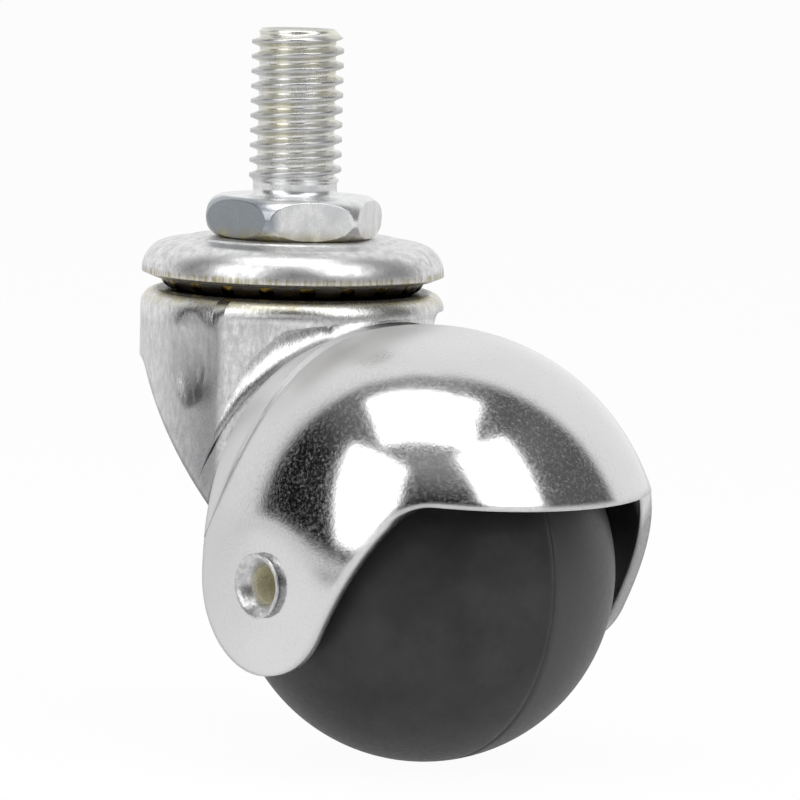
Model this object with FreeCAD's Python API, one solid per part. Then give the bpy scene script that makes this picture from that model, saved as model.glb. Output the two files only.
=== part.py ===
"""Hooded ball caster on a threaded stem.

Millimetres, +Z up along the swivel axis. The origin is the centre of the hex collar's top
face, which is the face that seats against whatever the stem is screwed into. The ball trails
towards -Y, and its axle runs along X.
"""
import FreeCAD, Part
import math
import os

V = FreeCAD.Vector
X_AXIS = V(1, 0, 0)
Z_AXIS = V(0, 0, 1)

# Stem: an M8 thread rolled on the same bar as the hex collar and the kingpin
thread_d = 7.8
stem_length = 14.1
stem_tip_chamfer = 0.8
neck_d = 7.1
neck_length = 1.4
neck_fillet = 0.6
hex_across_flats = 13.4
hex_height = 3.5
hex_corner_d = 15.2
hex_face_d = 12.8
hex_turn = -28.0

# Kingpin below the hex, stepped down and peened over the lower race
kingpin_d = 6.0
spigot_d = 4.8
peen_d = 7.8
peen_flat_d = 3.2
peen_edge = 0.35
peen_height = 1.1
peen_bulge = 0.3

# Race cap: pressed cup, fixed to the kingpin, that covers the upper ring of balls
cap_sheet = 1.2
cap_d = 25.6
cap_seat_d = 17.4
cap_seat_step = 0.15
cap_top_fall = 0.2
cap_shoulder_r = 2.5
cap_shoulder_start = 82.0
cap_depth = 3.4
cap_lip_width = 0.85
cap_mouth_chamfer = 0.35
cap_groove_end = -5.0

# Upper ring of balls, between the race cap and the horn
upper_ball_d = 3.0
upper_ball_count = 20
upper_race_inset = 2.95
upper_ball_phase = 1.6
upper_ball_drop = 3.05
race_clearance = 0.03
race_lip_chamfer = 0.4

# Horn: pressed steel housing that turns under the race cap
horn_sheet = 1.5
horn_outstand = 0.05
horn_shoulder_r = 1.45
horn_hub_drop = 1.65
horn_hub_corner = 0.6
horn_lip_gap = 1.0
horn_bore_gap = 0.4
horn_groove_start = 165.0
horn_groove_end = 285.0
horn_flat_depth = 0.85
horn_flat_angle = 48.0
horn_flat_corner_r = 1.3
horn_skirt = 5.8
horn_wing_slope = 49.7
horn_wing_y = 5.8
horn_wing_corner_r = 3.0
dent_depth = 0.5
dent_half_width_r = 5.5
dent_half_height_r = 12.0
dent_angle = 82.0
dent_drop = 3.7

# Lower ring of balls, between the horn and the lower race washer
lower_ball_d = 2.5
lower_ball_count = 12
lower_pitch_r = 4.95
lower_groove_depth = 0.45
washer_d = 13.6
washer_thickness = 1.6

# Rolling ball and its trail behind the swivel axis
ball_d = 31.8
trail = 17.35
hood_headroom = 1.3
ball_wall = 2.4
ball_hub_d = 8.6
ball_hub_gap = 0.35
ball_rib_count = 6
ball_rib_thickness = 1.6
ball_seam_groove = 0.15
axle_running_gap = 0.06

# Hood: bright pressed dome over the ball, with a flat ear at each side
hood_sheet = 1.1
hood_r = 20.4
ear_half_width = 17.85
ear_flat_reach = 1.35
ear_r = 7.5
hood_rear = 8.1
mouth_height = 7.0
mouth_tilt = 5.0
mouth_slope = 60.0
mouth_corner_r = 3.0
hood_step = 0.35
hood_step_start_z = 3.0
hood_step_middle = (4.4, 13.4)
hood_step_top = (4.6, 20.9)
weld_overlap = 0.6
race_room_gap = 0.5

# Axle: tubular rivet through both ears
axle_d = 4.0
axle_bore_d = 2.9
rivet_head_d = 5.4
rivet_head_thickness = 0.55
rivet_head_edge = 0.2
rivet_roll_edge = 0.3
rivet_mouth = 0.55

# Worked out from the sizes above
thread_r = thread_d / 2
neck_r = neck_d / 2
kingpin_r = kingpin_d / 2
spigot_r = spigot_d / 2
cap_r = cap_d / 2
cap_mouth_r = cap_r - cap_lip_width
cap_top_z = -hex_height
cap_under_z = cap_top_z - cap_sheet
cap_edge_z = cap_top_z - cap_depth
upper_pitch_r = cap_r - upper_race_inset
upper_ball_r = upper_ball_d / 2
upper_race_r = upper_ball_r + race_clearance
upper_ball_z = cap_top_z - upper_ball_drop
horn_r = cap_r + horn_outstand
horn_flat_distance = horn_r - horn_flat_depth
horn_hub_z = cap_top_z - horn_hub_drop
horn_under_z = horn_hub_z - horn_sheet
horn_lip_z = cap_edge_z - horn_lip_gap
horn_full_z = horn_lip_z - horn_shoulder_r
horn_bore_r = kingpin_r + horn_bore_gap
horn_inner_r = horn_r - horn_sheet
lower_ball_r = lower_ball_d / 2
lower_race_r = lower_ball_r + race_clearance
lower_ball_z = horn_under_z + lower_groove_depth - lower_race_r
washer_top_z = lower_ball_z - lower_race_r + lower_groove_depth
washer_bottom_z = washer_top_z - washer_thickness
ball_r = ball_d / 2
axle_drop = hood_headroom - horn_lip_z + hood_r + hood_step
ball_centre = V(0, -trail, -axle_drop)
axle_r = axle_d / 2
ear_blend_r = ear_half_width - ear_flat_reach
ear_inner_x = ear_half_width - hood_sheet
hub_face_x = ear_inner_x - ball_hub_gap
hood_inner_r = hood_r - hood_sheet
far = 3 * ball_d


def section(points):
    """Closed face in the XZ plane from (radius, height) points.

    A plain pair is a corner. A triple ("arc", middle, end) is an arc through a middle point.
    """
    edges = []
    here = V(points[0][0], 0, points[0][1])
    for item in points[1:] + [points[0]]:
        if item[0] == "arc":
            middle = V(item[1][0], 0, item[1][1])
            end = V(item[2][0], 0, item[2][1])
            edges.append(Part.Arc(here, middle, end).toShape())
        else:
            end = V(item[0], 0, item[1])
            if (end - here).Length < 1e-6:
                continue
            edges.append(Part.LineSegment(here, end).toShape())
        here = end
    return Part.Face(Part.Wire(edges))


def turned(points):
    """Solid of revolution about the swivel axis."""
    return section(points).revolve(V(0, 0, 0), Z_AXIS, 360)


def on_circle(centre, radius, degrees):
    """Point at an angle on a circle in the section plane."""
    angle = math.radians(degrees)
    return (centre[0] + radius * math.cos(angle), centre[1] + radius * math.sin(angle))


def arc_to(centre, radius, start, end):
    """Arc item for section(), from one angle to another about a centre."""
    return ("arc", on_circle(centre, radius, (start + end) / 2), on_circle(centre, radius, end))


def bowed_to(start, end, bulge):
    """Arc item for section(), bowed out to the left of the line from start to end."""
    run = (end[0] - start[0], end[1] - start[1])
    length = math.hypot(run[0], run[1])
    middle = (
        (start[0] + end[0]) / 2 - bulge * run[1] / length,
        (start[1] + end[1]) / 2 + bulge * run[0] / length)
    return ("arc", middle, end)


def ring_of_balls(diameter, pitch_r, height, count, phase=0.0):
    """Single balls, evenly spaced round the swivel axis."""
    balls = []
    for index in range(count):
        angle = math.radians(phase) + 2 * math.pi * index / count
        centre = V(pitch_r * math.sin(angle), -pitch_r * math.cos(angle), height)
        balls.append(Part.makeSphere(diameter / 2, centre))
    return balls


def side_profile(edges_2d, half_width):
    """Prism along X from lines and arcs given as (y, z) offsets from the ball's centre."""
    edges = []
    for edge in edges_2d:
        points = [V(-half_width, ball_centre.y + y, ball_centre.z + z) for y, z in edge]
        if len(points) == 2:
            edges.append(Part.LineSegment(*points).toShape())
        else:
            edges.append(Part.Arc(*points).toShape())
    face = Part.Face(Part.Wire(edges))
    return face.extrude(V(2 * half_width, 0, 0))


# Stem, hex collar and kingpin, one turned and pressed piece
def make_stem_bolt():
    tip_r = thread_r - stem_tip_chamfer
    fillet_centre = (neck_r + neck_fillet, neck_fillet)
    peen_start = (peen_d / 2, washer_bottom_z - peen_edge)
    peen_end = (peen_flat_d / 2, washer_bottom_z - peen_height)
    bar = turned([
        (0, stem_length),
        (tip_r, stem_length),
        (thread_r, stem_length - stem_tip_chamfer),
        (thread_r, neck_length),
        (neck_r, neck_length - (thread_r - neck_r)),
        (neck_r, neck_fillet),
        arc_to(fillet_centre, neck_fillet, 180, 270),
        (neck_r + neck_fillet, -hex_height),
        (kingpin_r, -hex_height),
        (kingpin_r, washer_top_z),
        (spigot_r, washer_top_z),
        (spigot_r, washer_bottom_z),
        (peen_d / 2, washer_bottom_z),
        peen_start,
        bowed_to(peen_start, peen_end, -peen_bulge),
        (0, peen_end[1]),
    ])
    return bar.fuse(make_hex_collar()).removeSplitter()


def make_hex_collar():
    corner_r = hex_across_flats / 2 / math.cos(math.pi / 6)
    corners = []
    for index in range(7):
        angle = math.radians(hex_turn + 30 + 60 * index)
        corners.append(V(corner_r * math.sin(angle), -corner_r * math.cos(angle), -hex_height))
    prism = Part.Face(Part.makePolygon(corners)).extrude(V(0, 0, hex_height))
    barrel = turned([
        (0, 0),
        (hex_face_d / 2, 0),
        ("arc", (hex_corner_d / 2, -hex_height / 2), (hex_face_d / 2, -hex_height)),
        (0, -hex_height),
    ])
    return prism.common(barrel)


# Race cap, pressed from sheet, with a groove for the upper balls inside its rim
def make_race_cap():
    race = (upper_pitch_r, upper_ball_z)
    shoulder_z = cap_top_z - cap_seat_step - cap_top_fall - cap_shoulder_r
    shoulder = (cap_r - cap_shoulder_r, shoulder_z)
    rim_z = cap_edge_z + cap_mouth_chamfer
    groove_rise = cap_under_z - race_lip_chamfer - upper_ball_z
    groove_start = 180 - math.degrees(math.asin(groove_rise / upper_race_r))
    groove_mouth = on_circle(race, upper_race_r, cap_groove_end)
    return turned([
        (kingpin_r, cap_top_z),
        (cap_seat_d / 2, cap_top_z),
        (cap_seat_d / 2 + cap_seat_step, cap_top_z - cap_seat_step),
        on_circle(shoulder, cap_shoulder_r, cap_shoulder_start),
        arc_to(shoulder, cap_shoulder_r, cap_shoulder_start, 0),
        (cap_r, rim_z),
        (cap_mouth_r, cap_edge_z),
        (groove_mouth[0], cap_edge_z),
        groove_mouth,
        arc_to(race, upper_race_r, cap_groove_end, groove_start),
        (on_circle(race, upper_race_r, groove_start)[0] - race_lip_chamfer, cap_under_z),
        (kingpin_r, cap_under_z),
    ])


# Horn, pressed from sheet: race on top, round back, two flats in front, open behind
def horn_outside():
    race = (upper_pitch_r, upper_ball_z)
    hub_r = on_circle(race, upper_race_r, horn_groove_start)[0]
    shoulder = (horn_r - horn_shoulder_r, horn_full_z)
    return turned([
        (0, horn_hub_z),
        (hub_r - horn_hub_corner, horn_hub_z),
        arc_to((hub_r - horn_hub_corner, horn_hub_z - horn_hub_corner), horn_hub_corner, 90, 0),
        on_circle(race, upper_race_r, horn_groove_start),
        arc_to(race, upper_race_r, horn_groove_start, horn_groove_end),
        (shoulder[0], horn_lip_z),
        arc_to(shoulder, horn_shoulder_r, 90, 0),
        (horn_r, -axle_drop),
        (0, -axle_drop),
    ])


def horn_inside():
    race = (upper_pitch_r, upper_ball_z)
    bead_r = upper_race_r + horn_sheet
    bead_start = 180 + math.degrees(math.asin((upper_ball_z - horn_under_z) / bead_r))
    bead_end = on_circle(race, bead_r, horn_groove_end)
    below = -axle_drop - horn_sheet
    return turned([
        (0, horn_under_z),
        on_circle(race, bead_r, bead_start),
        arc_to(race, bead_r, bead_start, horn_groove_end),
        (horn_inner_r, bead_end[1]),
        (horn_inner_r, below),
        (0, below),
    ])


def beyond_flats(distance, top_z):
    """Prisms beyond the two flats, with rounded upper corners, below a height."""
    half_width = math.sqrt(horn_r ** 2 - horn_flat_distance ** 2)
    corner = half_width - horn_flat_corner_r
    knee = horn_flat_corner_r * (1 - math.sqrt(0.5))
    low_z = top_z - far
    prisms = []
    for side in (-1, 1):
        points = [
            V(distance, -half_width, low_z),
            V(distance, -half_width, top_z - horn_flat_corner_r),
            V(distance, -half_width + knee, top_z - knee),
            V(distance, -corner, top_z),
            V(distance, corner, top_z),
            V(distance, half_width - knee, top_z - knee),
            V(distance, half_width, top_z - horn_flat_corner_r),
            V(distance, half_width, low_z),
        ]
        outline = Part.Wire([
            Part.LineSegment(points[0], points[1]).toShape(),
            Part.Arc(points[1], points[2], points[3]).toShape(),
            Part.LineSegment(points[3], points[4]).toShape(),
            Part.Arc(points[4], points[5], points[6]).toShape(),
            Part.LineSegment(points[6], points[7]).toShape(),
            Part.LineSegment(points[7], points[0]).toShape(),
        ])
        prism = Part.Face(outline).extrude(V(far, 0, 0))
        prism.rotate(V(0, 0, 0), Z_AXIS, -90 + side * horn_flat_angle)
        prisms.append(prism)
    return prisms


def horn_side_cut():
    """Everything below the skirt behind, and below the sloping edges of the two wings."""
    skirt_z = horn_lip_z - horn_skirt
    slope = math.radians(horn_wing_slope)
    turn = horn_wing_corner_r * math.tan(slope / 2)
    along = V(0, -math.cos(slope), -math.sin(slope))
    corner = V(-far, horn_wing_y, skirt_z)
    before = corner + V(0, turn, 0)
    after = corner + along * turn
    centre = before - V(0, 0, horn_wing_corner_r)
    middle = centre + V(0, -math.sin(slope / 2), math.cos(slope / 2)) * horn_wing_corner_r
    low = corner + along * far
    edges = [
        Part.LineSegment(V(-far, far, skirt_z), before).toShape(),
        Part.Arc(before, middle, after).toShape(),
        Part.LineSegment(after, low).toShape(),
        Part.LineSegment(low, V(-far, far, low.z)).toShape(),
        Part.LineSegment(V(-far, far, low.z), V(-far, far, skirt_z)).toShape(),
    ]
    return Part.Face(Part.Wire(edges)).extrude(V(2 * far, 0, 0))


def dent_tool(side, extra):
    """Ring whose inner flank presses an oval dent into the side of the horn."""
    ring_r = dent_half_height_r
    tube_r = dent_half_width_r + extra
    reach = horn_r - dent_depth + dent_half_width_r + ring_r
    ring = Part.makeTorus(ring_r, tube_r, V(0, 0, 0), V(0, 1, 0))
    ring.translate(V(reach, 0, horn_full_z - dent_drop))
    ring.rotate(V(0, 0, 0), Z_AXIS, -90 + side * dent_angle)
    return ring


def make_horn():
    outside = horn_outside().cut(beyond_flats(horn_flat_distance, horn_full_z))
    inside = horn_inside().cut(beyond_flats(horn_flat_distance - horn_sheet, horn_full_z))
    for side in (-1, 1):
        outside = outside.cut(dent_tool(side, 0))
        inside = inside.cut(dent_tool(side, horn_sheet))
    bore = Part.makeCylinder(horn_bore_r, far, V(0, 0, -far / 2))
    ball_room = Part.makeSphere(hood_inner_r - weld_overlap, ball_centre)
    return outside.cut([inside, bore, ball_room, horn_side_cut()]).removeSplitter()


# Lower race washer, held up by the peened end of the kingpin
def make_lower_race_washer():
    race = (lower_pitch_r, lower_ball_z)
    rise = math.degrees(math.asin((lower_ball_z - washer_top_z) / lower_race_r))
    return turned([
        (spigot_r, washer_top_z),
        on_circle(race, lower_race_r, 180 + rise),
        arc_to(race, lower_race_r, 180 + rise, 360 - rise),
        (washer_d / 2, washer_top_z),
        (washer_d / 2, washer_bottom_z),
        (spigot_r, washer_bottom_z),
    ])


def make_horn_with_lower_groove():
    groove = Part.makeTorus(lower_pitch_r, lower_race_r, V(0, 0, lower_ball_z), Z_AXIS)
    return make_horn().cut(groove)


# Hood: a dome turned about the axle and eased into a flat at each ear, then trimmed from the side
def dome(offset):
    """Solid turned about the axle, at an offset from the hood's outside."""
    blend_x = ear_half_width - ear_blend_r
    flat_r = math.sqrt((hood_r - ear_blend_r) ** 2 - blend_x ** 2)
    blend_end = 180 - math.degrees(math.atan2(flat_r, blend_x))
    centre = (-blend_x, flat_r)
    blend_r = ear_blend_r + offset
    left = [
        on_circle(centre, blend_r, 180),
        on_circle(centre, blend_r, (180 + blend_end) / 2),
        on_circle(centre, blend_r, blend_end),
    ]
    points = [V(x, 0, z) for x, z in left]
    points += [V(0, 0, hood_r + offset)]
    points += [V(-x, 0, z) for x, z in left[::-1]]
    edges = [Part.Arc(*points[k:k + 3]).toShape() for k in range(0, len(points) - 2, 2)]
    left_end = V(points[0].x, 0, 0)
    right_end = V(points[-1].x, 0, 0)
    edges.append(Part.LineSegment(points[-1], right_end).toShape())
    edges.append(Part.LineSegment(right_end, left_end).toShape())
    edges.append(Part.LineSegment(left_end, points[0]).toShape())
    solid = Part.Face(Part.Wire(edges)).revolve(V(0, 0, 0), X_AXIS, 360)
    solid.translate(ball_centre)
    return solid


def hood_trim():
    """What the side trim keeps: above the wavy mouth, and in front of the rear edge."""
    slope = math.radians(mouth_slope)
    tilt = math.radians(mouth_tilt)
    ear_y = hood_rear - ear_r
    ear_end = (ear_y - ear_r * math.sin(slope), -ear_r * math.cos(slope))
    reach = hood_r + ear_end[0]
    rise = mouth_height + reach * math.tan(tilt) - ear_end[1]
    climb = rise / (math.sin(slope) + math.cos(slope) * math.tan(tilt))
    corner = (ear_end[0] - climb * math.cos(slope), ear_end[1] + climb * math.sin(slope))
    half_turn = (slope + tilt) / 2
    turn = mouth_corner_r * math.tan(half_turn)
    before = (corner[0] + turn * math.cos(slope), corner[1] - turn * math.sin(slope))
    after = (corner[0] - turn * math.cos(tilt), corner[1] - turn * math.sin(tilt))
    lean = math.radians(90) + tilt
    centre = (after[0] - mouth_corner_r * math.cos(lean), after[1] - mouth_corner_r * math.sin(lean))
    middle = on_circle(centre, mouth_corner_r, 90 + mouth_tilt - math.degrees(half_turn))
    low = on_circle((ear_y, 0), ear_r, -(mouth_slope + 90) / 2)
    nose = (-far, after[1] - (far + after[0]) * math.tan(tilt))
    return side_profile([
        [(hood_rear, far), (hood_rear, 0)],
        [(hood_rear, 0), low, ear_end],
        [ear_end, before],
        [before, middle, after],
        [after, nose],
        [nose, (-far, far)],
        [(-far, far), (hood_rear, far)],
    ], far)


def behind_step():
    """What lies behind the line where the sheet steps out, seen from the side."""
    start = (hood_rear, hood_step_start_z)
    above_top = (hood_step_top[0], far)
    beside_start = (far, hood_step_start_z)
    return side_profile([
        [start, hood_step_middle, hood_step_top],
        [hood_step_top, above_top],
        [above_top, (far, far)],
        [(far, far), beside_start],
        [beside_start, start],
    ], far)


def make_hood():
    flats = Part.makeCylinder(
        far, 2 * ear_half_width, ball_centre - X_AXIS * ear_half_width, X_AXIS)
    raised = dome(0).translated(V(0, 0, hood_step)).common(behind_step()).common(flats)
    outside = dome(0).fuse(raised)
    inside = dome(-hood_sheet)
    sheet = outside.cut(inside).common(hood_trim())
    axle_hole = Part.makeCylinder(axle_r, far, ball_centre - X_AXIS * (far / 2), X_AXIS)
    horn_post = horn_outside().cut(beyond_flats(horn_flat_distance, horn_full_z))
    race_room = Part.makeCylinder(cap_r + race_room_gap, far, V(0, 0, horn_lip_z))
    return sheet.cut([axle_hole, horn_post, race_room]).removeSplitter()


# Axle: tubular rivet, headed at one end and rolled over at the other
def rivet_end(edge):
    """Outline of one end, from the bore to the shank: (distance from the middle, radius)."""
    head_x = ear_half_width + rivet_head_thickness
    head_r = rivet_head_d / 2
    bore_r = axle_bore_d / 2
    return [
        (head_x - rivet_mouth, bore_r),
        (head_x, bore_r + rivet_mouth),
        (head_x, head_r - edge),
        (head_x - edge, head_r),
        (ear_half_width, head_r),
        (ear_half_width, axle_r),
    ]


def make_axle_rivet():
    rolled_end = [V(-x, 0, r) for x, r in rivet_end(rivet_roll_edge)]
    headed_end = [V(x, 0, r) for x, r in rivet_end(rivet_head_edge)]
    outline = rolled_end + headed_end[::-1] + rolled_end[:1]
    rivet = Part.Face(Part.makePolygon(outline)).revolve(V(0, 0, 0), X_AXIS, 360)
    rivet.translate(ball_centre)
    return rivet


# Rolling ball: two hollow moulded halves that meet on a seam square to the axle
def make_ball_half(side):
    room = ball_r - ball_wall
    half = Part.makeBox(far, 2 * far, 2 * far, V(0, -far, -far))
    shell = Part.makeSphere(ball_r).cut(Part.makeSphere(room)).common(half)
    hub = Part.makeCylinder(ball_hub_d / 2, hub_face_x, V(0, 0, 0), X_AXIS)
    rib_box = Part.makeBox(far, ball_rib_thickness, far, V(0, -ball_rib_thickness / 2, 0))
    pieces = [hub]
    for index in range(ball_rib_count):
        rib = rib_box.copy()
        rib.rotate(V(0, 0, 0), X_AXIS, 360 * index / ball_rib_count)
        pieces.append(rib.common(Part.makeSphere(room + ball_wall / 2)).common(half))
    solid = shell.fuse(pieces)
    groove = Part.makeCone(
        ball_r + ball_seam_groove, ball_r - ball_seam_groove, 2 * ball_seam_groove,
        V(2 * ball_seam_groove, 0, 0), V(-1, 0, 0))
    rim = Part.makeCylinder(2 * ball_r, 2 * ball_seam_groove, V(0, 0, 0), X_AXIS).cut(groove)
    bore = Part.makeCylinder(axle_r + axle_running_gap, far, V(-far / 2, 0, 0), X_AXIS)
    solid = solid.cut([rim, bore]).removeSplitter()
    if side < 0:
        solid = solid.mirror(V(0, 0, 0), X_AXIS)
    solid.translate(ball_centre)
    return solid


def write(name, shape):
    if shape.ShapeType != "Solid":
        shape = shape.Solids[0] if len(shape.Solids) == 1 else shape
    if not shape.isValid():
        print("not valid:", name)
    print(name, len(shape.Solids), "solid", round(shape.Volume, 1), "mm3")
    shape.exportStep("parts/" + name + ".step")


def main():
    os.makedirs("parts", exist_ok=True)
    write("stem_bolt", make_stem_bolt())
    write("race_cap", make_race_cap())
    write("horn", make_horn_with_lower_groove())
    write("lower_race_washer", make_lower_race_washer())
    write("hood", make_hood())
    write("axle_rivet", make_axle_rivet())
    write("ball_half_left", make_ball_half(-1))
    write("ball_half_right", make_ball_half(1))
    upper = ring_of_balls(
        upper_ball_d, upper_pitch_r, upper_ball_z, upper_ball_count, upper_ball_phase)
    for number, ball in enumerate(upper, 1):
        write("upper_ball_%02d" % number, ball)
    lower = ring_of_balls(lower_ball_d, lower_pitch_r, lower_ball_z, lower_ball_count)
    for number, ball in enumerate(lower, 1):
        write("lower_ball_%02d" % number, ball)


main()
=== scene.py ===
import math

import bmesh
import bpy
from mathutils import Matrix, Vector, noise


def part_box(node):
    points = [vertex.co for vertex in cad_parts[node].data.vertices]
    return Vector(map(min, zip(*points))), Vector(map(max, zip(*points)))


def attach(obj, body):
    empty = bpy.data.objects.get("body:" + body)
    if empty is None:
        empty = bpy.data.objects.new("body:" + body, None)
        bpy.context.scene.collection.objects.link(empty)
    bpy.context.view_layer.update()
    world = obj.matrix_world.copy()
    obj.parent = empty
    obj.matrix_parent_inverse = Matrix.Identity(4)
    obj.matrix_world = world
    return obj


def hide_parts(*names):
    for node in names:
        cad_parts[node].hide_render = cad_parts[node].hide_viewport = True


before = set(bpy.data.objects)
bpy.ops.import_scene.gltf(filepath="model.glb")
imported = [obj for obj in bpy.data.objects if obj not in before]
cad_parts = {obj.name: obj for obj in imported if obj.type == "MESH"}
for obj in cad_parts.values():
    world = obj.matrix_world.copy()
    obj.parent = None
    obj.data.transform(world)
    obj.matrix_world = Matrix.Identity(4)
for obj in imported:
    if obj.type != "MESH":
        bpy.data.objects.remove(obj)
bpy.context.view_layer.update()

MM = 0.001

# Sizes shared with the solids, in millimetres
thread_r = 3.9
stem_length = 14.1
stem_tip_chamfer = 0.8
neck_r = 3.55
neck_length = 1.4
neck_fillet = 0.6
cap_edge_z = -6.9
upper_ball_r = 1.5
upper_ball_z = -6.55
upper_pitch_r = 9.85
lower_ball_r = 1.25
horn_r = 12.85
horn_lip_z = -7.9
horn_shoulder_r = 1.45
horn_flat_distance = 12.0
horn_flat_angle = 48.0
trail = 17.35
axle_drop = 29.95
ball_r = 15.9
ball_hub_r = 4.3
ball_hub_face_x = 16.4
ball_bore_r = 2.06
ball_seam_groove = 0.15
hood_r = 20.4
hood_step = 0.35
ear_half_width = 17.85
ear_blend_r = 16.5
axle_r = 2.0
axle_bore_r = 1.45
rivet_head_r = 2.7
rivet_head_thickness = 0.55

# Rolled thread, with one place on the stem that its crest passes, and the dish in the tip
thread_root_r = 3.22
thread_pitch = 1.25
thread_crest_z = 10.45
thread_crest_angle = 137.8
tip_dish_rim = 0.35
tip_dish_depth = 0.2

# Grease between the upper balls, as the thickness and the lumps of a ring
grease_r = 1.40
grease_lump = 0.10

# Band of shearing marks above the cap's edge
cap_rim_band = 0.95

# Flare where the horn meets the hood
flare_rise = 3.4
flare_spread = 1.3
flare_end_angle = 78.0
flare_sink = 0.02

# Shallow hollow above each side dent of the horn: its middle, half sizes and depth
hollow_centre = (12.4, -3.3, -13.4)
hollow_size = (3.0, 1.6, 4.2)
hollow_depth = 0.35

# Rim of the rivet: thin and cracked where it is rolled over, with a factory head at the far ear
rivet_rim_thickness = 0.18
rivet_flare_depth = 1.6
rivet_crack_angles = (18, 74, 141, 197, 262, 318)
rivet_crack_depth = 0.05
rivet_raggedness = 0.05
rivet_rim_inset = 0.03
rivet_head_edge = 0.25
rivet_bore_mouth = 0.3

# Worked out from the sizes above
thread_start_z = neck_length - 0.3
crest_full_z = neck_length + 0.15
thread_full_z = neck_length + 0.6
horn_full_z = horn_lip_z - horn_shoulder_r
horn_crease_angle = math.radians(horn_flat_angle) + math.acos(horn_flat_distance / horn_r)
horn_crease_y = -horn_r * math.cos(horn_crease_angle)
ball_centre = Vector((0, -trail, -axle_drop)) * MM
floor_z = -(axle_drop + ball_r) * MM

# Camera, fitted to the photograph: a long lens a little above and left of the front
view_azimuth = -42.21
view_elevation = 6.0
view_roll = 1.43
view_distance = 0.508
view_lens = 270.0
view_target = Vector((5.90, -7.40, -17.01)) * MM

# Studio, in metres and degrees
softbox_radiance = 2.6
cloth_azimuth = view_azimuth - 56
cloth_distance = 0.34
cloth_size = (0.24, 0.36)


# Small helpers
def link(obj):
    bpy.context.scene.collection.objects.link(obj)
    return obj


def mesh_object(name, verts, faces, material):
    """A smooth mesh from points in millimetres."""
    mesh = bpy.data.meshes.new(name)
    mesh.from_pydata([tuple(Vector(v) * MM) for v in verts], [], faces)
    mesh.validate()
    mesh.update()
    for polygon in mesh.polygons:
        polygon.use_smooth = True
    mesh.materials.append(material)
    return link(bpy.data.objects.new(name, mesh))


def ring_faces(rows, segments):
    """Quads joining rows of points that each go once round."""
    faces = []
    for row in range(rows - 1):
        for step in range(segments):
            after = (step + 1) % segments
            faces.append((
                row * segments + step,
                row * segments + after,
                (row + 1) * segments + after,
                (row + 1) * segments + step,
            ))
    return faces


def turned_on_x(name, profile, segments, material, wobble=None):
    """Surface turned about the axle from (x, radius) points, centred on the rolling ball."""
    verts = []
    for row, (x, radius) in enumerate(profile):
        for step in range(segments):
            angle = 2 * math.pi * step / segments
            r = radius + (wobble(row, angle) if wobble else 0.0)
            verts.append((x, r * math.cos(angle) - trail, r * math.sin(angle) - axle_drop))
    return mesh_object(name, verts, ring_faces(len(profile), segments), material)


def smooth_step(low, high, value):
    t = min(max((value - low) / (high - low), 0.0), 1.0)
    return t * t * (3 - 2 * t)


def direction(azimuth, elevation):
    """Unit vector from the object, with azimuth 0 towards -Y."""
    a = math.radians(azimuth)
    e = math.radians(elevation)
    return Vector((math.sin(a) * math.cos(e), -math.cos(a) * math.cos(e), math.sin(e)))


# Node helpers
class Nodes:
    """Short calls that fill one node tree. They take sockets or plain values, and give sockets."""

    def __init__(self, tree):
        self.tree = tree
        self.tree.nodes.clear()

    def add(self, kind, **settings):
        made = self.tree.nodes.new(kind)
        for key, value in settings.items():
            setattr(made, key, value)
        return made

    def feed(self, socket, value):
        if isinstance(value, bpy.types.NodeSocket):
            self.tree.links.new(value, socket)
        else:
            socket.default_value = value

    def feed_all(self, node, values):
        for socket, value in zip(node.inputs, values):
            self.feed(socket, value)

    def calculate(self, operation, *values):
        made = self.add("ShaderNodeMath", operation=operation)
        self.feed_all(made, values)
        return made.outputs["Value"]

    def times(self, first, second):
        return self.calculate("MULTIPLY", first, second)

    def measure(self, operation, *vectors):
        """A number from vectors, such as a length."""
        made = self.add("ShaderNodeVectorMath", operation=operation)
        self.feed_all(made, vectors)
        return made.outputs["Value"]

    def span(self, source, start, end, at_start=0.0, at_end=1.0, kind="LINEAR"):
        """Goes from one value to another while the source goes from start to end."""
        made = self.add("ShaderNodeMapRange", interpolation_type=kind)
        self.feed(made.inputs["Value"], source)
        made.inputs["From Min"].default_value = start
        made.inputs["From Max"].default_value = end
        made.inputs["To Min"].default_value = at_start
        made.inputs["To Max"].default_value = at_end
        return made.outputs["Result"]

    def mix_colors(self, share, first, second):
        made = self.add("ShaderNodeMixRGB")
        self.feed_all(made, (share, first, second))
        return made.outputs["Color"]

    def mix_shaders(self, share, first, second):
        made = self.add("ShaderNodeMixShader")
        self.feed_all(made, (share, first, second))
        return made.outputs["Shader"]


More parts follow.
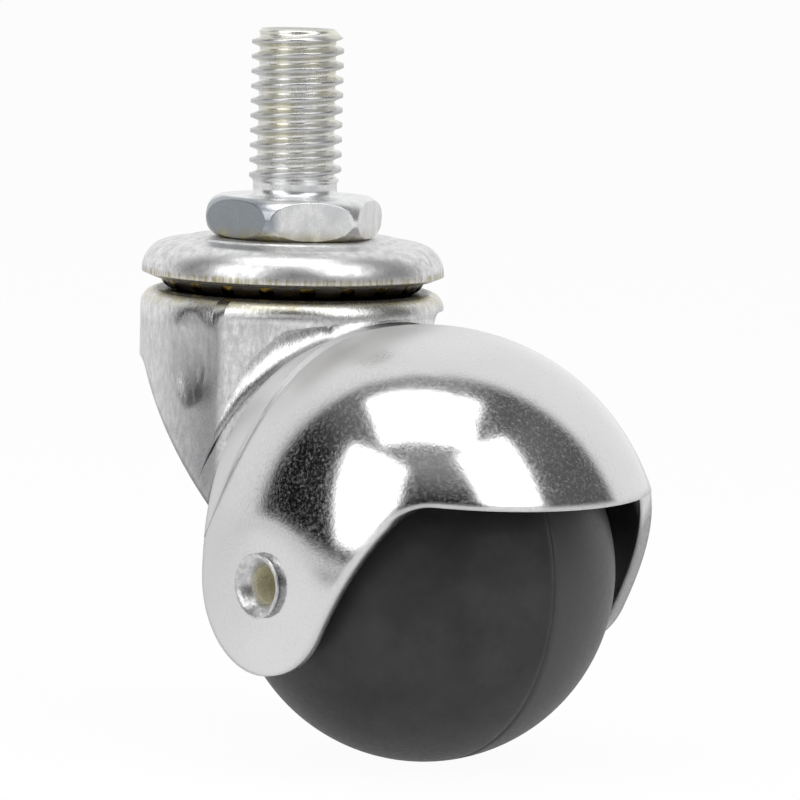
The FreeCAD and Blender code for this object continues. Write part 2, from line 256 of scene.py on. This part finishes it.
class Shader(Nodes):
    """A material with one principled surface, laid out on the object's own coordinates."""

    def __init__(self, name):
        self.material = bpy.data.materials.new(name)
        self.material.use_nodes = True
        super().__init__(self.material.node_tree)
        self.output = self.add("ShaderNodeOutputMaterial")
        self.surface = self.add("ShaderNodeBsdfPrincipled")
        self.feed(self.output.inputs["Surface"], self.surface.outputs["BSDF"])
        self.place = self.add("ShaderNodeTexCoord")

    def give(self, in_name, value):
        """Sets one input of the surface."""
        self.feed(self.surface.inputs[in_name], value)

    def set_tone(self, color):
        self.tone = color
        self.give("Base Color", color)

    def tint(self, cover, color):
        """Lays a plain colour over the tone, by a share from 0 to 1."""
        self.set_tone(self.mix_colors(cover, self.tone, (*color, 1)))

    def set_relief(self, normal):
        self.relief = normal
        self.give("Normal", normal)

    def split(self, out_name):
        """The three parts of the object's coordinates, or of its normal."""
        parts = self.add("ShaderNodeSeparateXYZ")
        self.feed(parts.inputs["Vector"], self.place.outputs[out_name])
        return parts

    def along(self, axis, start, end, at_start=0.0, at_end=1.0, kind="LINEAR"):
        """Changes between two places on one of the object's axes, in millimetres."""
        place = self.split("Object").outputs[axis]
        return self.span(place, start * MM, end * MM, at_start, at_end, kind)

    def outwards(self, start, end, at_start=0.0, at_end=1.0):
        """Changes between two distances from the stem's axis, in millimetres."""
        place = self.split("Object")
        across = self.add("ShaderNodeCombineXYZ")
        self.feed(across.inputs["X"], place.outputs["X"])
        self.feed(across.inputs["Y"], place.outputs["Y"])
        distance = self.measure("LENGTH", across.outputs["Vector"])
        return self.span(distance, start * MM, end * MM, at_start, at_end)

    def noise(self, waves, detail=4.0, rough=0.55, stretch=(1, 1, 1)):
        """Noise in waves per millimetre."""
        mapping = self.add("ShaderNodeMapping")
        mapping.inputs["Scale"].default_value = [share / MM for share in stretch]
        self.feed(mapping.inputs["Vector"], self.place.outputs["Object"])
        made = self.add("ShaderNodeTexNoise")
        self.feed(made.inputs["Vector"], mapping.outputs["Vector"])
        made.inputs["Scale"].default_value = waves
        made.inputs["Detail"].default_value = detail
        made.inputs["Roughness"].default_value = rough
        return made.outputs["Fac"]

    def ramp(self, source, low, high, low_color, high_color):
        made = self.add("ShaderNodeValToRGB")
        stops = made.color_ramp.elements
        for stop, position, color in zip(stops, (low, high), (low_color, high_color)):
            stop.position = position
            stop.color = (*color, 1)
        self.feed(made.inputs["Fac"], source)
        return made.outputs["Color"]

    def bump(self, height, depth, strength=1.0, under=None):
        """Relief with its depth in millimetres, laid over another relief if one is given."""
        made = self.add("ShaderNodeBump")
        made.inputs["Distance"].default_value = depth * MM
        made.inputs["Strength"].default_value = strength
        self.feed(made.inputs["Height"], height)
        if under is not None:
            self.feed(made.inputs["Normal"], under)
        return made.outputs["Normal"]

    def soft_edges(self, radius):
        made = self.add("ShaderNodeBevel", samples=6)
        made.inputs["Radius"].default_value = radius * MM
        return made.outputs["Normal"]


# Materials
def zinc(name, light, dark, metallic, rough_light, rough_dark, grain, fine_grain, stretch, relief,
         edge):
    """Zinc plate over steel: mottled tone, uneven roughness, fine relief, softened edges."""
    s = Shader(name)
    s.give("Metallic", metallic)
    mottle = s.noise(grain, 6.0, 0.62, stretch)
    s.set_tone(s.ramp(mottle, 0.32, 0.68, dark, light))
    s.give("Roughness", s.span(mottle, 0.3, 0.7, rough_dark, rough_light))
    broad = s.bump(mottle, relief, 1.0, s.soft_edges(edge))
    fine = s.noise(fine_grain, 4.0, 0.7, stretch)
    s.set_relief(s.bump(fine, relief * 0.7, 1.0, broad))
    return s


def stained(s, clean_z, full_z, color, amount):
    """A stain that grows from a clean height to a full one, broken up by noise."""
    band = s.along("Z", clean_z, full_z, 0.0, amount)
    blotch = s.span(s.noise(0.5, 4.0, 0.6), 0.35, 0.62)
    s.tint(s.times(band, blotch), color)


def greased(s, inner_r, outer_r, top_z, bottom_z):
    """Black grease on what faces the race: near the axis and between two heights."""
    soft_edge = 0.2
    near = s.outwards(outer_r, inner_r)
    low = s.along("Z", bottom_z, bottom_z + soft_edge)
    high = s.along("Z", top_z, top_z - soft_edge)
    s.tint(s.times(s.times(low, high), near), (0.02, 0.016, 0.008))


def sheared(s, low_z, high_z):
    """Upright marks that a shearing tool leaves round a rim."""
    above = s.along("Z", low_z, low_z + 0.1)
    below = s.along("Z", high_z, high_z - 0.25)
    upright = (1, 1, 0.06)
    marks = s.span(s.noise(2.6, 3.0, 0.8, upright), 0.44, 0.62, 0.04, 0.9)
    s.tint(s.times(s.times(above, below), marks), (0.36, 0.32, 0.17))


def worn_crests(s):
    """Darker, greyer crests on the thread."""
    crest = s.outwards(thread_root_r + 0.2, thread_r, 0.0, 0.65)
    on_shank = s.along("Z", neck_fillet, neck_length + 0.4)
    s.tint(s.times(crest, on_shank), (0.40, 0.41, 0.42))


def make_stem_zinc():
    s = zinc(
        "stem zinc", light=(0.88, 0.88, 0.88), dark=(0.66, 0.67, 0.68), metallic=0.85,
        rough_light=0.22, rough_dark=0.36, grain=0.7, fine_grain=5.0, stretch=(1, 1, 0.6),
        relief=0.009, edge=0.12)
    stained(s, clean_z=0.6, full_z=5.0, color=(0.74, 0.70, 0.50), amount=0.5)
    worn_crests(s)
    # Painted dark reflection: the collar's facets towards -X get a dark bluish-grey tint, as if
    # mirroring a dim side of the studio.
    painted_reflection_facet_x = -5.4
    s.tint(s.along("X", painted_reflection_facet_x, painted_reflection_facet_x - 0.9, 0.0, 0.95), (0.27, 0.295, 0.32))
    stained(s, clean_z=-2.3, full_z=-3.5, color=(0.42, 0.34, 0.11), amount=0.9)
    return s.material


def make_cap_zinc():
    s = zinc(
        "cap zinc", light=(0.80, 0.80, 0.80), dark=(0.54, 0.54, 0.55), metallic=0.85,
        rough_light=0.24, rough_dark=0.40, grain=1.4, fine_grain=7.0, stretch=(1, 1, 1),
        relief=0.012, edge=0.25)
    band_top_z = cap_edge_z + cap_rim_band
    stained(s, clean_z=band_top_z, full_z=cap_edge_z + 0.3, color=(0.66, 0.62, 0.44), amount=0.5)
    sheared(s, low_z=cap_edge_z, high_z=band_top_z)
    greased(s, inner_r=11.7, outer_r=12.1, top_z=-4.8, bottom_z=-7.5)
    return s.material


def fuller_shoulder(s):
    """Shades the shoulder of the round wall as if it began lower than beside the flats."""
    fall = s.along("Z", horn_full_z - 1.3, horn_lip_z, 0.0, -1.0, "SMOOTHSTEP")
    behind_flat = s.along("Y", horn_crease_y - 0.4, horn_crease_y + 0.6)
    s.set_relief(s.bump(s.times(fall, behind_flat), 0.5, 1.0, s.relief))


def soft_hollow(s):
    """A shallow hollow above each side dent, where the sheet was pulled in with it."""
    place = s.split("Object")
    folded = s.add("ShaderNodeCombineXYZ")
    s.feed_all(folded, (
        s.calculate("ABSOLUTE", place.outputs["X"]), place.outputs["Y"], place.outputs["Z"]))
    centred = s.add("ShaderNodeMapping", vector_type="TEXTURE")
    centred.inputs["Location"].default_value = [c * MM for c in hollow_centre]
    centred.inputs["Scale"].default_value = [c * MM for c in hollow_size]
    s.feed(centred.inputs["Vector"], folded.outputs["Vector"])
    reach = s.measure("LENGTH", centred.outputs["Vector"])
    rise = s.span(reach, 0.0, 1.0, kind="SMOOTHSTEP")
    s.set_relief(s.bump(rise, hollow_depth, 1.0, s.relief))


def painted_shade_beside_flat(s):
    """Painted shade on the round wall, strongest next to the flat and fading backwards."""
    fading = s.along("Y", 3.0, horn_crease_y + 1.1, 0.0, 0.75)
    behind_flat = s.along("Y", horn_crease_y - 0.4, horn_crease_y + 0.2)
    below_lip = s.along("Z", horn_full_z + 0.6, horn_full_z - 0.6)
    # Painted shade: darker grey laid on the round wall beside the flat, below the lip.
    s.tint(s.times(s.times(fading, behind_flat), below_lip), (0.27, 0.27, 0.28))


def make_horn_zinc():
    s = zinc(
        "horn zinc", light=(0.78, 0.78, 0.78), dark=(0.56, 0.56, 0.56), metallic=0.95,
        rough_light=0.16, rough_dark=0.32, grain=2.4, fine_grain=7.0, stretch=(1, 1, 0.4),
        relief=0.021, edge=0.9)
    fuller_shoulder(s)
    soft_hollow(s)
    painted_shade_beside_flat(s)
    stained(s, clean_z=horn_lip_z - 1.3, full_z=horn_lip_z - 0.2, color=(0.50, 0.45, 0.25),
            amount=0.8)
    greased(s, inner_r=11.3, outer_r=11.9, top_z=-4.0, bottom_z=-9.0)
    return s.material


def make_washer_steel():
    s = zinc(
        "washer steel", light=(0.50, 0.50, 0.49), dark=(0.36, 0.36, 0.35), metallic=1.0,
        rough_light=0.25, rough_dark=0.4, grain=0.8, fine_grain=3.0, stretch=(1, 1, 1),
        relief=0.004, edge=0.1)
    return s.material


def painted_shade_cut_edge(s):
    """Painted shade on the sheet's cut edge round the right ear, found by where it is and which way
    it faces.
    """
    edge_x = 14.5
    right_ear = s.along("X", edge_x, edge_x + 1.0)
    sideways = s.calculate("ABSOLUTE", s.split("Normal").outputs["X"])
    cut_edge = s.span(sideways, 0.45, 0.25)
    pits = s.span(s.noise(5.0, 4.0, 0.7), 0.35, 0.65, 1.0, 0.7)
    # Painted shade: the cut edge is darkened, broken up by pits.
    s.tint(s.times(s.times(right_ear, cut_edge), pits), (0.30, 0.30, 0.30))


def make_hood_chrome():
    """Bright plate: nearly a mirror, with fine pale specks and a duller span by the horn."""
    s = Shader("hood chrome")
    cloud = s.noise(0.12, 3.0, 0.5)
    s.set_tone(s.ramp(cloud, 0.35, 0.65, (0.66, 0.66, 0.665), (0.70, 0.70, 0.702)))
    painted_shade_cut_edge(s)
    haze = s.noise(3.6, 6.0, 0.8)
    specks = s.span(haze, 0.40, 0.66, 0.10, 0.22)
    bright_from_r = 24.5
    dulled = s.outwards(bright_from_r, bright_from_r - 8.5, 0.0, 0.45)
    s.give("Roughness", s.calculate("ADD", specks, dulled))
    s.give("Metallic", s.span(haze, 0.52, 0.66, 1.0, 0.78))
    s.set_relief(s.bump(s.noise(4.5, 3.0, 0.6), 0.005, 1.0, s.soft_edges(0.8)))
    return s.material


def make_rivet_zinc():
    """Grey zinc; inside the tube a yellower zinc tint, made lighter and less like a mirror as
    painted light in the bore.
    """
    s = Shader("rivet zinc")
    worn = s.noise(1.8, 6.0, 0.7)
    s.set_tone(s.ramp(worn, 0.32, 0.68, (0.42, 0.42, 0.42), (0.72, 0.72, 0.72)))
    from_middle = s.calculate("ABSOLUTE", s.split("Object").outputs["X"])
    tube_x = ear_half_width - 0.35
    inside = s.span(from_middle, tube_x * MM, (tube_x - 0.4) * MM)
    # Painted light: the tube's inside is tinted lighter and made less metallic so it looks lit; the
    # yellow is the zinc's own tint.
    s.tint(inside, (0.80, 0.77, 0.60))
    s.give("Metallic", s.span(inside, 0.0, 1.0, 0.8, 0.45))
    s.give("Roughness", s.span(worn, 0.3, 0.7, 0.38, 0.20))
    s.set_relief(s.bump(worn, 0.04, 0.8, s.soft_edges(0.06)))
    return s.material


def make_ball_plastic():
    """Black plastic, clouded, with the right half painted lighter grey as painted light falling on
    that side.
    """
    s = Shader("ball plastic")
    s.give("Specular IOR Level", 0.31)
    cloud = s.noise(0.14, 5.0, 0.6)
    s.set_tone(s.ramp(cloud, 0.38, 0.66, (0.018, 0.018, 0.0185), (0.036, 0.036, 0.0365)))
    # Painted light: the half beyond the seam (+X) gets a lighter grey, standing in for light from
    # the right.
    s.tint(s.along("X", -0.02, 0.02), (0.055, 0.055, 0.056))
    grain = s.noise(2.2, 5.0, 0.65)
    s.give("Roughness", s.span(grain, 0.3, 0.7, 0.38, 0.50))
    s.set_relief(s.bump(grain, 0.008, 0.7))
    return s.material


def make_bearing_steel():
    """Bright steel that shows golden through a smear of grease."""
    s = Shader("bearing steel")
    s.give("Metallic", 1.0)
    smear = s.noise(0.6, 4.0, 0.6)
    s.set_tone(s.ramp(smear, 0.46, 0.66, (0.03, 0.02, 0.006), (0.40, 0.27, 0.07)))
    s.give("Roughness", s.span(smear, 0.35, 0.65, 0.36, 0.12))
    s.set_relief(s.bump(smear, 0.02, 0.4))
    return s.material


def make_grease():
    s = Shader("race grease")
    lump = s.noise(0.8, 5.0, 0.6)
    s.set_tone(s.ramp(lump, 0.40, 0.68, (0.010, 0.008, 0.006), (0.030, 0.021, 0.009)))
    s.give("Roughness", s.span(lump, 0.3, 0.7, 0.5, 0.25))
    s.set_relief(s.bump(lump, 0.10, 0.8))
    return s.material


# Stem with its rolled thread
def thread_depth(phase):
    """How deep the surface lies below the crest, as a share, from the turn's fraction."""
    away = abs(phase - round(phase))
    crest_half = 0.13
    root_half = 0.40
    share = (away - crest_half) / (root_half - crest_half)
    share = min(max(share, 0.0), 1.0)
    return math.sin(share * math.pi / 2) ** 1.1


def stem_radius(angle_deg, z):
    """Radius of the threaded stem at an angle and a height."""
    if z < neck_fillet:
        across = neck_fillet - z
        return neck_r + neck_fillet - math.sqrt(max(neck_fillet ** 2 - across ** 2, 0.0))
    turn = (angle_deg - thread_crest_angle) / 360
    phase = (z - thread_crest_z) / thread_pitch - turn
    run_out = smooth_step(thread_start_z, thread_full_z, z)
    crest = neck_r + (thread_r - neck_r) * smooth_step(thread_start_z, crest_full_z, z)
    radius = crest - (thread_r - thread_root_r) * thread_depth(phase) * run_out
    tip = stem_length - z
    if tip < stem_tip_chamfer:
        radius = min(radius, thread_r - stem_tip_chamfer + tip)
    return radius


def stem_heights():
    """Heights of the rows of points, closer together in the fillet above the collar."""
    fillet_steps = 8
    shank_steps = 170
    heights = []
    for k in range(fillet_steps + 1):
        heights.append(neck_fillet * (1 - math.cos(math.pi / 2 * k / fillet_steps)))
    for k in range(1, shank_steps + 1):
        heights.append(neck_fillet + (stem_length - neck_fillet) * k / shank_steps)
    return heights


def add_collar(stem):
    """Joins the stem to all that lies below the collar's top face, from the solid's own mesh."""
    lower = bmesh.new()
    lower.from_mesh(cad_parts["stem_bolt"].data)
    bmesh.ops.bisect_plane(
        lower, geom=lower.verts[:] + lower.edges[:] + lower.faces[:],
        plane_co=(0, 0, 0.02 * MM), plane_no=(0, 0, 1), clear_outer=True)
    for face in lower.faces:
        face.smooth = False
    both = bmesh.new()
    both.from_mesh(stem.data)
    copied = {v: both.verts.new(v.co) for v in lower.verts}
    for face in lower.faces:
        both.faces.new([copied[v] for v in face.verts])
    both.to_mesh(stem.data)
    lower.free()
    both.free()


def make_threaded_stem(material):
    segments = 96
    heights = stem_heights()
    verts = []
    for z in heights:
        for step in range(segments):
            angle = 360 * step / segments
            radius = stem_radius(angle, z)
            verts.append((
                radius * math.cos(math.radians(angle)),
                radius * math.sin(math.radians(angle)),
                z,
            ))
    dish_r = thread_r - stem_tip_chamfer - tip_dish_rim
    for step in range(segments):
        angle = 2 * math.pi * step / segments
        verts.append((
            dish_r * math.cos(angle), dish_r * math.sin(angle), stem_length - tip_dish_depth))
    faces = ring_faces(len(heights) + 1, segments)
    faces.append(tuple(range(len(verts) - segments, len(verts))))
    stem = mesh_object("threaded_stem_and_collar", verts, faces, material)
    add_collar(stem)
    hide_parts("stem_bolt")
    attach(stem, "stem")


# Balls of the two races, round and smooth
def make_race_ball(node, body, radius, material):
    low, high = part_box(node)
    bpy.ops.mesh.primitive_uv_sphere_add(
        segments=32, ring_count=20, radius=radius * MM, location=(low + high) / 2)
    ball = bpy.context.object
    ball.name = "polished_" + node
    bpy.ops.object.shade_smooth()
    ball.data.materials.append(material)
    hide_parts(node)
    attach(ball, body)


def make_grease_ring(material):
    """Grease packed between the balls, a lumpy ring that the balls stand out of."""
    rows, segments = 14, 240
    lumps_round = 8
    lump_step = 0.35
    verts = []
    for step in range(segments):
        around = 2 * math.pi * step / segments
        for row in range(rows):
            turn = 2 * math.pi * row / rows
            lump = noise.noise(Vector((
                lumps_round * math.cos(around), lumps_round * math.sin(around), row * lump_step)))
            r = grease_r + grease_lump * lump
            out = upper_pitch_r + r * math.cos(turn)
            verts.append((out * math.cos(around), out * math.sin(around),
                          upper_ball_z + r * math.sin(turn)))
    faces = []
    for step in range(segments):
        after = (step + 1) % segments
        for row in range(rows):
            up = (row + 1) % rows
            faces.append((
                step * rows + row, after * rows + row, after * rows + up, step * rows + up))
    grease = mesh_object("race_grease", verts, faces, material)
    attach(grease, "upper_ball_ring")


# Rolling ball, as two turned shells that meet on a fine seam
def make_ball_shell(side, material):
    hub_edge = 0.15
    arc_start = math.asin(ball_seam_groove / ball_r)
    arc_end = math.acos(ball_hub_r / ball_r)
    steps = 44
    profile = [(0.0, ball_r - ball_seam_groove)]
    for k in range(steps + 1):
        angle = arc_start + (arc_end - arc_start) * k / steps
        profile.append((ball_r * math.sin(angle), ball_r * math.cos(angle)))
    profile += [
        (ball_hub_face_x - hub_edge, ball_hub_r),
        (ball_hub_face_x, ball_hub_r - hub_edge),
        (ball_hub_face_x, ball_bore_r),
        (0.0, ball_bore_r),
    ]
    shell = turned_on_x(
        "moulded_ball_" + ("right" if side > 0 else "left"),
        [(side * x, r) for x, r in profile], 144, material)
    node = "ball_half_right" if side > 0 else "ball_half_left"
    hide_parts(node)
    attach(shell, "ball_wheel")


# Flare where the horn's wall is drawn out to meet the hood
def hood_distance(point):
    """Distance from the raised part of the hood, with the point in the part's frame."""
    x = abs(point.x)
    across = math.hypot(point.y + trail, point.z + axle_drop - hood_step)
    blend_x = ear_half_width - ear_blend_r
    flat_r = math.sqrt((hood_r - ear_blend_r) ** 2 - blend_x ** 2)
    if across <= flat_r:
        return x - ear_half_width
    if (across - flat_r) * blend_x < (x - blend_x) * flat_r:
        return math.hypot(x - blend_x, across - flat_r) - ear_blend_r
    return math.hypot(x, across) - hood_r


def hood_normal(point):
    step = 0.01
    moves = [Vector((step, 0, 0)), Vector((0, step, 0)), Vector((0, 0, step))]
    slopes = [hood_distance(point + m) - hood_distance(point - m) for m in moves]
    return Vector(slopes).normalized()


def horn_wall(angle_deg):
    """Point and outward direction of the horn's wall, round with a flat at each side in front."""
    from_flat = math.radians(abs(angle_deg) - horn_flat_angle)
    out = min(horn_r, horn_flat_distance / math.cos(from_flat))
    heading = angle_deg if out == horn_r else math.copysign(horn_flat_angle, angle_deg)
    angle = math.radians(angle_deg)
    turn = math.radians(heading)
    point = Vector((out * math.sin(angle), -out * math.cos(angle), 0))
    return point, Vector((math.sin(turn), -math.cos(turn), 0))


def flare_row(angle_deg, size, steps):
    """Curve from the horn's wall down to the hood, tightest near the hood."""
    corner, off_wall = horn_wall(angle_deg)
    low, high = -axle_drop, 0.0
    while high - low > 1e-5:
        corner.z = (low + high) / 2
        if hood_distance(corner) > 0:
            high = corner.z
        else:
            low = corner.z
    off_hood = hood_normal(corner)
    down = (off_wall - off_hood * off_wall.dot(off_hood)).normalized()
    wall_height = horn_full_z - corner.z
    rise = min(flare_rise * size, 0.9 * wall_height)
    start = corner + Vector((0, 0, rise)) - off_wall * flare_sink
    end = corner + down * flare_spread * size
    end -= off_hood * (hood_distance(end) + flare_sink)
    points = []
    for j in range(steps + 1):
        t = j / steps
        points.append(start * (1 - t) ** 2 + corner * 2 * t * (1 - t) + end * t ** 2)
    return points


def flare_size(angle):
    """Share of the flare's full size: small in front, full beside the flats, nothing behind."""
    front_share = 0.25
    full_from = horn_flat_angle - 5
    full_to = horn_flat_angle + 8
    widening = smooth_step(5, full_from, abs(angle))
    narrowing = smooth_step(full_to, flare_end_angle, abs(angle))
    return (front_share + (1 - front_share) * widening) * (1 - narrowing)


def make_flare(material):
    steps, curve_steps = 160, 14
    verts = []
    for k in range(steps + 1):
        angle = flare_end_angle * (2 * k / steps - 1)
        verts += flare_row(angle, flare_size(angle), curve_steps)
    around = curve_steps + 1
    faces = []
    for k in range(steps):
        for j in range(curve_steps):
            first = k * around + j
            faces.append((first, first + 1, first + around + 1, first + around))
    flare = mesh_object("horn_flare", verts, faces, material)
    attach(flare, "swivel")


# Tubular rivet with a rolled, slightly cracked rim
def rivet_profile():
    """Points (x, radius) from the rolled rim at the near ear, through the bore, to the far head."""
    head_x = ear_half_width + rivet_head_thickness
    profile = [
        (-ear_half_width, axle_r),
        (rivet_rim_thickness - head_x, rivet_head_r),
        (0.2 * rivet_rim_thickness - head_x, rivet_head_r - 0.02),
    ]
    flare_steps = 14
    rim_width = rivet_head_r - 0.5 * rivet_rim_thickness - axle_bore_r
    for k in range(flare_steps + 1):
        t = k / flare_steps
        opening = rim_width * (1 - t) ** 1.8
        profile.append((rivet_flare_depth * t ** 1.3 - head_x, axle_bore_r + opening))
    profile += [
        (ear_half_width - 1.0, axle_bore_r),
        (head_x - rivet_bore_mouth / 2, axle_bore_r + rivet_bore_mouth / 6),
        (head_x, axle_bore_r + rivet_bore_mouth),
        (head_x, rivet_head_r - rivet_head_edge),
        (head_x - 0.8 * rivet_head_edge, rivet_head_r),
        (ear_half_width, rivet_head_r),
        (ear_half_width, axle_r),
        (-ear_half_width, axle_r),
    ]
    return profile


def rim_wobble(row, angle):
    """How far the rolled rim departs from round: ragged, with a notch at each crack."""
    rim_rows = range(1, 7)
    if row not in rim_rows:
        return 0.0
    lumps_round = 3
    crack_half_angle = 0.05
    ragged = rivet_raggedness * noise.noise(Vector((
        lumps_round * math.cos(angle), lumps_round * math.sin(angle), 0)))
    for crack in rivet_crack_angles:
        apart = abs(math.remainder(angle - math.radians(crack), 2 * math.pi))
        ragged -= rivet_crack_depth * max(0.0, 1 - apart / crack_half_angle)
    return ragged - rivet_rim_inset


def make_rivet(material):
    rivet = turned_on_x("rolled_tubular_rivet", rivet_profile(), 120, material, rim_wobble)
    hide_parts("axle_rivet")
    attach(rivet, "swivel")


# Floor, light and camera
def white_for_sight(s, surface, seen_share, mirrored_share):
    """Plain white over a share of the lit surface, to the camera and to reflections."""
    path = s.add("ShaderNodeLightPath")
    seen = s.times(path.outputs["Is Camera Ray"], seen_share)
    mirrored = s.times(path.outputs["Is Glossy Ray"], mirrored_share)
    glow = s.add("ShaderNodeEmission")
    return s.mix_shaders(
        s.calculate("MAXIMUM", seen, mirrored), surface, glow.outputs["Emission"])


def make_floor():
    bpy.ops.mesh.primitive_plane_add(size=6.0, location=(0, 0, floor_z))
    floor = bpy.context.object
    floor.name = "floor"
    s = Shader("pale floor")
    s.tree.nodes.remove(s.surface)
    paper = s.add("ShaderNodeBsdfDiffuse")
    paper.inputs["Color"].default_value = (0.93, 0.93, 0.93, 1)
    mostly_white = white_for_sight(
        s, paper.outputs["BSDF"], seen_share=0.96, mirrored_share=0.6)
    s.feed(s.output.inputs["Surface"], mostly_white)
    floor.data.materials.append(s.material)


def make_dark_cloth():
    """Dark cloth with a soft outline, lying on the studio table to the left, for reflections."""
    bpy.ops.mesh.primitive_plane_add(
        size=1.0, location=direction(cloth_azimuth, 0) * cloth_distance)
    cloth = bpy.context.object
    cloth.name = "dark_cloth"
    cloth.scale = (*cloth_size, 1.0)
    cloth.rotation_euler.z = math.radians(cloth_azimuth)
    cloth.location.z = floor_z + 1 * MM
    s = Shader("dark cloth")
    s.give("Base Color", (0.12, 0.12, 0.12, 1))
    s.give("Roughness", 0.9)
    widen = s.add("ShaderNodeMapping")
    widen.inputs["Scale"].default_value = (2, 2, 2)
    s.feed(widen.inputs["Vector"], s.place.outputs["Object"])
    round_off = s.add("ShaderNodeTexGradient", gradient_type="SPHERICAL")
    s.feed(round_off.inputs["Vector"], widen.outputs["Vector"])
    cover = s.span(round_off.outputs["Fac"], 0.05, 0.5)
    clear = s.add("ShaderNodeBsdfTransparent")
    mixed = s.mix_shaders(cover, clear.outputs["BSDF"], s.surface.outputs["BSDF"])
    s.feed(s.output.inputs["Surface"], mixed)
    cloth.data.materials.append(s.material)
    cloth.visible_camera = False
    cloth.visible_diffuse = False
    cloth.visible_shadow = False


def softbox(name, azimuth, elevation, distance, width, height, slide):
    """A rectangular lamp that faces the rolling ball, slid to its own left."""
    light = bpy.data.lights.new(name, "AREA")
    light.shape = "RECTANGLE"
    light.size = width
    light.size_y = height
    light.energy = softbox_radiance * math.pi * width * height
    lamp = link(bpy.data.objects.new(name, light))
    away = direction(azimuth, elevation)
    lamp.location = ball_centre + away * distance + direction(azimuth - 90, 0) * slide
    lamp.rotation_euler = away.to_track_quat("Z", "Y").to_euler()
    lamp.visible_camera = False


def make_softboxes():
    softbox("overhead softbox", azimuth=view_azimuth, elevation=81, distance=0.46,
            width=0.37, height=0.25, slide=0.035)
    softbox("left softbox", azimuth=-88, elevation=30, distance=0.46,
            width=0.26, height=0.36, slide=0.0)
    softbox("right softbox", azimuth=7, elevation=43, distance=0.48,
            width=0.26, height=0.34, slide=0.02)


def studio_tone(nodes):
    """White surroundings with the dim half of a studio in front and above."""
    around = nodes.add("ShaderNodeTexCoord").outputs["Generated"]
    parts = nodes.add("ShaderNodeSeparateXYZ")
    nodes.feed(parts.inputs["Vector"], around)
    up = parts.outputs["Z"]
    front = nodes.measure("DOT_PRODUCT", around, direction(view_azimuth + 6, view_elevation))
    right = nodes.measure("DOT_PRODUCT", around, direction(view_azimuth + 90, 0))

    def fade(source, start, end, at_start=0.0, at_end=1.0):
        return nodes.span(source, start, end, at_start, at_end, "SMOOTHSTEP")

    dim = nodes.times(fade(front, -0.28, -0.20), fade(up, 0.0, 0.07))
    ceiling = fade(up, 0.58, 0.84, 0.006, 0.30)
    ceiling = nodes.times(ceiling, fade(right, -0.75, -0.10, 0.35, 1.0))
    ceiling = nodes.times(ceiling, fade(right, 0.10, 0.45, 1.0, 0.30))
    depth = nodes.calculate("ADD", ceiling, fade(right, 0.30, 0.85, 0.0, 0.12))
    return nodes.mix_colors(dim, (1, 1, 1, 1), depth)


def make_world():
    """The studio for reflections, a soft even light for all else, and a plain view behind."""
    world = bpy.data.worlds.new("studio")
    bpy.context.scene.world = world
    world.use_nodes = True
    nodes = Nodes(world.node_tree)
    reflected = nodes.add("ShaderNodeBackground")
    nodes.feed(reflected.inputs["Color"], studio_tone(nodes))
    soft = nodes.add("ShaderNodeBackground")
    soft.inputs["Strength"].default_value = 0.45
    plain = nodes.add("ShaderNodeBackground")
    path = nodes.add("ShaderNodeLightPath")
    lit = nodes.mix_shaders(
        path.outputs["Is Glossy Ray"], soft.outputs["Background"], reflected.outputs["Background"])
    seen = nodes.mix_shaders(path.outputs["Is Camera Ray"], lit, plain.outputs["Background"])
    out = nodes.add("ShaderNodeOutputWorld")
    nodes.feed(out.inputs["Surface"], seen)


def make_camera():
    camera = bpy.data.cameras.new("camera")
    camera.lens = view_lens
    camera.clip_start = 0.02
    camera.clip_end = 20
    eye = link(bpy.data.objects.new("camera", camera))
    turn = Matrix.Rotation(math.radians(view_azimuth), 4, "Z")
    tilt = Matrix.Rotation(math.radians(90 - view_elevation), 4, "X")
    roll = Matrix.Rotation(math.radians(view_roll), 4, "Z")
    spot = view_target + direction(view_azimuth, view_elevation) * view_distance
    eye.matrix_world = Matrix.Translation(spot) @ turn @ tilt @ roll
    bpy.context.scene.camera = eye


def dress(node, material):
    """Gives a solid of the frame its material."""
    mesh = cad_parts[node].data
    mesh.materials.clear()
    mesh.materials.append(material)


def main():
    bearing_steel = make_bearing_steel()
    dress("race_cap", make_cap_zinc())
    horn_zinc = make_horn_zinc()
    dress("horn", horn_zinc)
    make_flare(horn_zinc)
    dress("hood", make_hood_chrome())
    dress("lower_race_washer", make_washer_steel())
    make_threaded_stem(make_stem_zinc())
    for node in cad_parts:
        if node.startswith("upper_ball"):
            make_race_ball(node, "upper_ball_ring", upper_ball_r, bearing_steel)
        if node.startswith("lower_ball"):
            make_race_ball(node, "lower_ball_ring", lower_ball_r, bearing_steel)
    make_grease_ring(make_grease())
    ball_plastic = make_ball_plastic()
    make_ball_shell(-1, ball_plastic)
    make_ball_shell(1, ball_plastic)
    make_rivet(make_rivet_zinc())
    make_floor()
    make_dark_cloth()
    make_softboxes()
    make_world()
    make_camera()
    bpy.context.scene.view_settings.view_transform = "Standard"


main()
